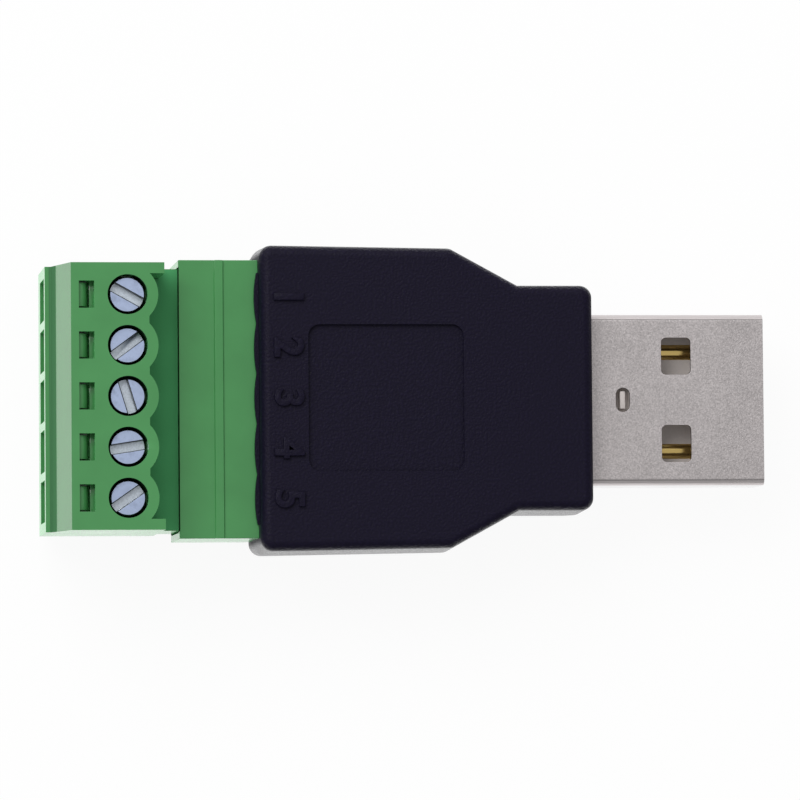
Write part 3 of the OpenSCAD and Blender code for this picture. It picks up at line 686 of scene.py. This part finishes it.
def merged_copy(node, name):
    """A copy of a CAD node under a name of its own, with its loose triangles made plain faces."""
    pick_only(frame["nodes"][node])
    bpy.ops.object.duplicate()
    piece = bpy.context.object
    piece.name = name
    piece.data.name = name
    del piece["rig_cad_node"]
    bpy.ops.object.mode_set(mode="EDIT")
    bpy.ops.mesh.select_all(action="SELECT")
    bpy.ops.mesh.customdata_custom_splitnormals_clear()
    bpy.ops.mesh.remove_doubles(threshold=MERGE_GAP)
    bpy.ops.mesh.dissolve_limited(angle_limit=FLAT)
    bpy.ops.object.mode_set(mode="OBJECT")
    return piece


def clean_mesh():
    """Merges the active mesh's double corners and takes out its faces of no size."""
    bpy.ops.object.mode_set(mode="EDIT")
    bpy.ops.mesh.select_all(action="SELECT")
    bpy.ops.mesh.remove_doubles(threshold=MERGE_GAP)
    bpy.ops.mesh.dissolve_degenerate(threshold=MERGE_GAP)
    bpy.ops.object.mode_set(mode="OBJECT")


def round_edges(piece, edge):
    """Rounds a piece's sharp edges and shades it to match."""
    bpy.ops.object.shade_smooth()
    bpy.ops.object.modifier_add(type="BEVEL")
    rounding = piece.modifiers[-1]
    rounding.limit_method = "ANGLE"
    rounding.angle_limit = SHARP
    rounding.width = edge
    rounding.segments = 2
    rounding.use_clamp_overlap = True
    bpy.ops.object.modifier_apply(modifier=rounding.name)
    clean_mesh()
    bpy.ops.object.modifier_add(type="WEIGHTED_NORMAL")
    bpy.ops.object.modifier_apply(modifier=piece.modifiers[-1].name)


def stand_for(piece, node, finish):
    """Puts a finished piece in the place of its CAD node."""
    for slot in piece.material_slots:
        slot.material = finish
    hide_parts(node)
    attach(piece, BODY_OF[node])


def eased(node, name, finish, edge):
    """A copy of a CAD node with its sharp edges rounded, which stands for the node."""
    piece = merged_copy(node, name)
    round_edges(piece, edge)
    stand_for(piece, node, finish)


def break_slot_edges(screw, head_top, length, width):
    """Rounds the two long edges of a screw's driver slot."""
    bpy.ops.object.mode_set(mode="EDIT")
    bpy.ops.mesh.select_mode(type="EDGE")
    bpy.ops.mesh.select_all(action="DESELECT")
    bpy.ops.object.mode_set(mode="OBJECT")
    corners = screw.data.vertices
    for edge in screw.data.edges:
        a, b = (corners[i].co for i in edge.vertices)
        edge.select = min(a.z, b.z) > head_top - HAIR and (a - b).length > length
    if sum(edge.select for edge in screw.data.edges) != 2:
        raise RuntimeError(f"{screw.name} has no driver slot with two long edges")
    bpy.ops.object.mode_set(mode="EDIT")
    bpy.ops.mesh.bevel(offset=width, segments=3, affect="EDGES")
    bpy.ops.object.mode_set(mode="OBJECT")


class ADAPTER_OT_terminal_plug(bpy.types.Operator):
    """Eases the terminal plug's housing and finishes the socket contacts in it"""
    bl_idname = "adapter.terminal_plug"
    bl_label = "Terminal plug"

    def execute(self, context):
        sizes, colours = context.scene.adapter_sizes, context.scene.adapter_colours
        low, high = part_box("plug_housing")
        # The root's lighter green is painted bounce light in the gap under the header.
        root_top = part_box("header_housing")[1].z - sizes.root_drop
        side = high.y - sizes.root_inset
        root = ((high.x - sizes.root_length, -side, low.z), (high.x, side, root_top))
        # The screw bores are drawn dark green, painted shade.
        first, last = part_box("clamp_screw_1"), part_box("clamp_screw_5")
        reach = sizes.bore_reach
        bores = ((first[0].x - reach, last[0].y - reach, low.z),
                 (first[1].x + reach, first[1].y + reach, high.z - reach))
        ledge = high.z - sizes.ledge_drop
        # The hollow at the foot of the slope is drawn darker green, painted shade.
        hollow = ((low.x + sizes.hollow_from, low.y, ledge - HAIR),
                  (low.x + sizes.hollow_to, high.y, ledge + sizes.hollow_height))
        slope = ((low.x + sizes.hollow_to, low.y, ledge),
                 (low.x + sizes.slope_to, high.y, high.z - sizes.housing_edge))
        polyamide = moulded_polyamide(colours, (
            (colours.root, root), (colours.shaded, bores), (colours.hollow, hollow)), slope)
        eased("plug_housing", "plug_housing_eased", polyamide, sizes.housing_edge)
        self.slot_ribs(sizes, polyamide)
        brass = stamped_brass(colours.brass)
        for pole in POLES:
            dress(f"socket_contact_{pole}", brass)
        return {"FINISHED"}

    def slot_ribs(self, sizes, finish):
        """The low moulded rib at the screw end of each test slot."""
        low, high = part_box("plug_housing")
        bpy.ops.object.select_all(action="DESELECT")
        bpy.ops.mesh.primitive_cube_add(size=1.0)
        ribs = bpy.context.object
        ribs.name = "test_slot_ribs"
        ribs.data.name = "test_slot_ribs"
        ribs.scale = sizes.rib_size
        ribs.location = (
            low.x + sizes.rib_back - sizes.rib_size[0] / 2, screw_y(POLES[0]),
            high.z - sizes.rib_drop - sizes.rib_size[2] / 2)
        bpy.ops.object.transform_apply(location=True, rotation=True, scale=True)
        bpy.ops.object.mode_set(mode="EDIT")
        bpy.ops.mesh.bevel(offset=sizes.rib_edge, segments=2, affect="EDGES")
        for pole in POLES[1:]:
            bpy.ops.mesh.duplicate()
            bpy.ops.transform.translate(value=(0.0, screw_y(pole) - screw_y(pole - 1), 0.0))
        bpy.ops.object.mode_set(mode="OBJECT")
        bpy.ops.object.shade_smooth_by_angle(angle=SMOOTH)
        ribs.data.materials.append(finish)
        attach(ribs, BODY_OF["plug_housing"])


class ADAPTER_OT_clamps(bpy.types.Operator):
    """Eases the clamp screws and finishes the cages that they lift"""
    bl_idname = "adapter.clamps"
    bl_label = "Screw clamps"

    def execute(self, context):
        sizes, colours = context.scene.adapter_sizes, context.scene.adapter_colours
        head_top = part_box("clamp_screw_1")[1].z
        zinc = blue_zinc(colours.zinc, colours.milled, head_top, head_top - sizes.driver_slot)
        brass = stamped_brass(colours.brass)
        for pole in POLES:
            screw = merged_copy(f"clamp_screw_{pole}", f"clamp_screw_{pole}_eased")
            break_slot_edges(screw, head_top, sizes.slot_length, sizes.slot_edge)
            round_edges(screw, sizes.screw_edge)
            stand_for(screw, f"clamp_screw_{pole}", zinc)
            dress(f"clamp_cage_{pole}", brass)
        return {"FINISHED"}


class ADAPTER_OT_pin_header(bpy.types.Operator):
    """Eases the pin header's housing and finishes its pins"""
    bl_idname = "adapter.pin_header"
    bl_label = "Pin header"

    def execute(self, context):
        sizes, colours = context.scene.adapter_sizes, context.scene.adapter_colours
        low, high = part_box("header_housing")
        # The front of the header's mouth is drawn dark, a painted shadow of the plug.
        side = high.y - sizes.mouth_side
        mouth = ((low.x - sizes.mouth_rim, -side, low.z), (low.x + sizes.mouth_rim, side, high.z))
        polyamide = moulded_polyamide(colours, ((colours.shaded, mouth),))
        eased("header_housing", "header_housing_eased", polyamide, sizes.housing_edge)
        tin = reflowed_tin(colours.tin)
        for pole in POLES:
            dress(f"header_pin_{pole}", tin)
        return {"FINISHED"}


class ADAPTER_OT_circuit_board(bpy.types.Operator):
    """Finishes the circuit board inside the body"""
    bl_idname = "adapter.circuit_board"
    bl_label = "Circuit board"

    def execute(self, context):
        dress("circuit_board", masked_laminate(context.scene.adapter_colours.laminate))
        return {"FINISHED"}


class ADAPTER_OT_moulded_body(bpy.types.Operator):
    """Eases the moulded body and raises a numeral behind each terminal"""
    bl_idname = "adapter.moulded_body"
    bl_label = "Moulded body"

    def execute(self, context):
        sizes, colours = context.scene.adapter_sizes, context.scene.adapter_colours
        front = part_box("header_housing")[0].x + sizes.header_reach
        low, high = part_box("moulded_body")
        matt_zone = ((low.x, -sizes.matt_side, high.z - sizes.matt_depth),
                     (front + sizes.matt_length, sizes.matt_side, high.z + sizes.matt_depth))
        vinyl = spark_eroded_vinyl(colours.vinyl, matt_zone)
        eased("moulded_body", "moulded_body_eased", vinyl, sizes.vinyl_edge)
        numerals = []
        for pole in POLES:
            numerals.append(self.numeral(
                pole, front + sizes.numeral_setback, screw_y(pole), high.z, sizes))
        pick_only(numerals[0])
        for numeral in numerals:
            numeral.select_set(True)
        bpy.ops.object.join()
        piece = context.object
        piece.name = "terminal_numerals"
        piece.data.name = "terminal_numerals"
        piece.data.materials.append(vinyl)
        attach(piece, "adapter")
        return {"FINISHED"}

    def numeral(self, pole, x, y, top, sizes):
        """One raised numeral that stands with its foot to the terminals."""
        bpy.ops.object.select_all(action="DESELECT")
        bpy.ops.object.text_add()
        text = bpy.context.object
        text.data.body = str(pole)
        text.data.align_x = "CENTER"
        text.data.extrude = TYPE_DEPTH
        text.data.bevel_depth = TYPE_BEVEL
        text.data.bevel_resolution = 2
        text.data.offset = TYPE_SPREAD
        bpy.ops.object.convert(target="MESH")
        numeral = bpy.context.object
        corners = [vertex.co for vertex in numeral.data.vertices]
        foot = min(co.y for co in corners)
        tall = max(co.y for co in corners) - foot
        middle = (min(co.x for co in corners) + max(co.x for co in corners)) / 2
        rise = max(co.z for co in corners)
        scale = sizes.numeral_height / tall
        numeral.rotation_euler = (0.0, 0.0, -math.pi / 2)
        numeral.scale = (scale, scale, scale)
        numeral.location = (x - foot * scale, y + middle * scale,
                            top + sizes.numeral_rise - rise * scale)
        bpy.ops.object.transform_apply(location=True, rotation=True, scale=True)
        clean_mesh()
        bpy.ops.object.mode_set(mode="EDIT")
        bpy.ops.mesh.select_all(action="SELECT")
        bpy.ops.mesh.normals_make_consistent(inside=False)
        bpy.ops.object.mode_set(mode="OBJECT")
        bpy.ops.object.shade_smooth_by_angle(angle=SMOOTH)
        return numeral


class ADAPTER_OT_type_a_plug(bpy.types.Operator):
    """Eases the plug's shell and insulator and finishes its contact strips"""
    bl_idname = "adapter.type_a_plug"
    bl_label = "Type A plug"

    def execute(self, context):
        sizes, colours = context.scene.adapter_sizes, context.scene.adapter_colours
        low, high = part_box("usb_shell")
        bend_line = high.y - sizes.bend_line
        flat, skin = bend_line - sizes.sheet_edge, sizes.plated_skin
        # The box of the sheet's thickness, whose walls are drawn dark.
        punched = ((low.x - skin, -flat, high.z - sizes.sheet_wall + skin),
                   (high.x + skin, flat, high.z - skin))
        nickel = tumbled_nickel(colours.nickel, sizes, bend_line, punched)
        eased("usb_shell", "plug_shell_eased", nickel, sizes.sheet_edge)
        eased("usb_insulator", "plug_insulator_eased", filled_polyester(colours.insulator),
              sizes.sheet_edge)
        gold = rolled_gold(colours.gold)
        for strip in STRIPS:
            eased(f"usb_contact_{strip}", f"contact_{strip}_eased", gold, sizes.contact_edge)
        return {"FINISHED"}


class ADAPTER_OT_stage(bpy.types.Operator):
    """Sets up the paper, the light and the camera"""
    bl_idname = "adapter.stage"
    bl_label = "Stage"

    def execute(self, context):
        stage, colours = context.scene.adapter_stage, context.scene.adapter_colours
        context.scene.view_settings.view_transform = "Standard"

        bpy.ops.object.select_all(action="DESELECT")
        bpy.ops.mesh.primitive_plane_add(
            size=stage.paper_size, location=(0.0, 0.0, -stage.paper_gap))
        paper = context.object
        paper.name = "paper"
        paper.data.materials.append(white_paper(colours.floor, stage.floor_glow))

        world = bpy.data.worlds.new("White tent")
        context.scene.world = world
        world.use_nodes = True
        tree = world.node_tree
        tree.nodes.clear()
        seen = add(tree, "ShaderNodeLightPath")
        place = add(tree, "ShaderNodeTexCoord")
        way = add(tree, "ShaderNodeSeparateXYZ", {0: (place, "Generated")})
        lean = add(tree, "ShaderNodeVectorMath", {
            0: (place, "Generated"), 1: stage.tent_lean}, operation="DOT_PRODUCT")
        walls = add(tree, "ShaderNodeMapRange", {
            "Value": (lean, "Value"), "From Min": -1.0, "From Max": 1.0,
            "To Min": stage.tent_near, "To Max": stage.tent_far})
        level = add(tree, "ShaderNodeMapRange", {
            "Value": (way, "Z"), "From Min": stage.tent_eaves, "From Max": stage.tent_ridge,
            "To Min": (walls, 0), "To Max": stage.tent_top}, interpolation_type="SMOOTHSTEP")
        tent = add(tree, "ShaderNodeBackground", {
            "Color": (1.0, 1.0, 1.0, 1.0), "Strength": (level, 0)})
        white = add(tree, "ShaderNodeBackground", {"Color": (1.0, 1.0, 1.0, 1.0), "Strength": 1.0})
        both = add(tree, "ShaderNodeMixShader", {
            0: (seen, "Is Camera Ray"), 1: (tent, 0), 2: (white, 0)})
        add(tree, "ShaderNodeOutputWorld", {"Surface": (both, 0)})

        bpy.ops.object.light_add(
            type="AREA", location=stage.key_place,
            rotation=(-stage.key_place).to_track_quat("-Z", "Y").to_euler())
        key = context.object
        key.name = "key_light"
        key.data.energy = stage.key_power
        key.data.size = stage.key_size

        bpy.ops.object.camera_add(location=stage.camera_place, rotation=stage.camera_turn)
        camera = context.object
        camera.name = "camera"
        camera.data.lens = stage.camera_lens
        camera.data.sensor_width = 36.0
        camera.data.clip_start = 0.01
        camera.data.clip_end = 10.0
        context.scene.camera = camera
        return {"FINISHED"}


STEPS = (
    ADAPTER_OT_terminal_plug,
    ADAPTER_OT_clamps,
    ADAPTER_OT_pin_header,
    ADAPTER_OT_circuit_board,
    ADAPTER_OT_moulded_body,
    ADAPTER_OT_type_a_plug,
    ADAPTER_OT_stage,
)


class ADAPTER_PT_looks(bpy.types.Panel):
    """Lists the adapter's steps, sizes, colours and stage"""
    bl_idname = "ADAPTER_PT_looks"
    bl_label = "Terminal adapter"
    bl_space_type = "VIEW_3D"
    bl_region_type = "UI"
    bl_category = "Adapter"

    def draw(self, context):
        for step in STEPS:
            self.layout.operator(step.bl_idname)
        scene = context.scene
        for group in (scene.adapter_sizes, scene.adapter_colours, scene.adapter_stage):
            for name in group.__annotations__:
                self.layout.prop(group, name)


GROUPS = {
    "adapter_sizes": AdapterSizes,
    "adapter_colours": AdapterColours,
    "adapter_stage": AdapterStage,
}


def register():
    for cls in (*GROUPS.values(), *STEPS, ADAPTER_PT_looks):
        bpy.utils.register_class(cls)
    for name, group in GROUPS.items():
        setattr(bpy.types.Scene, name, PointerProperty(type=group))


def unregister():
    for name in GROUPS:
        delattr(bpy.types.Scene, name)
    for cls in reversed((*GROUPS.values(), *STEPS, ADAPTER_PT_looks)):
        bpy.utils.unregister_class(cls)


def main():
    register()
    bpy.ops.adapter.terminal_plug()
    bpy.ops.adapter.clamps()
    bpy.ops.adapter.pin_header()
    bpy.ops.adapter.circuit_board()
    bpy.ops.adapter.moulded_body()
    bpy.ops.adapter.type_a_plug()
    bpy.ops.adapter.stage()


if __name__ == "__main__":
    main()
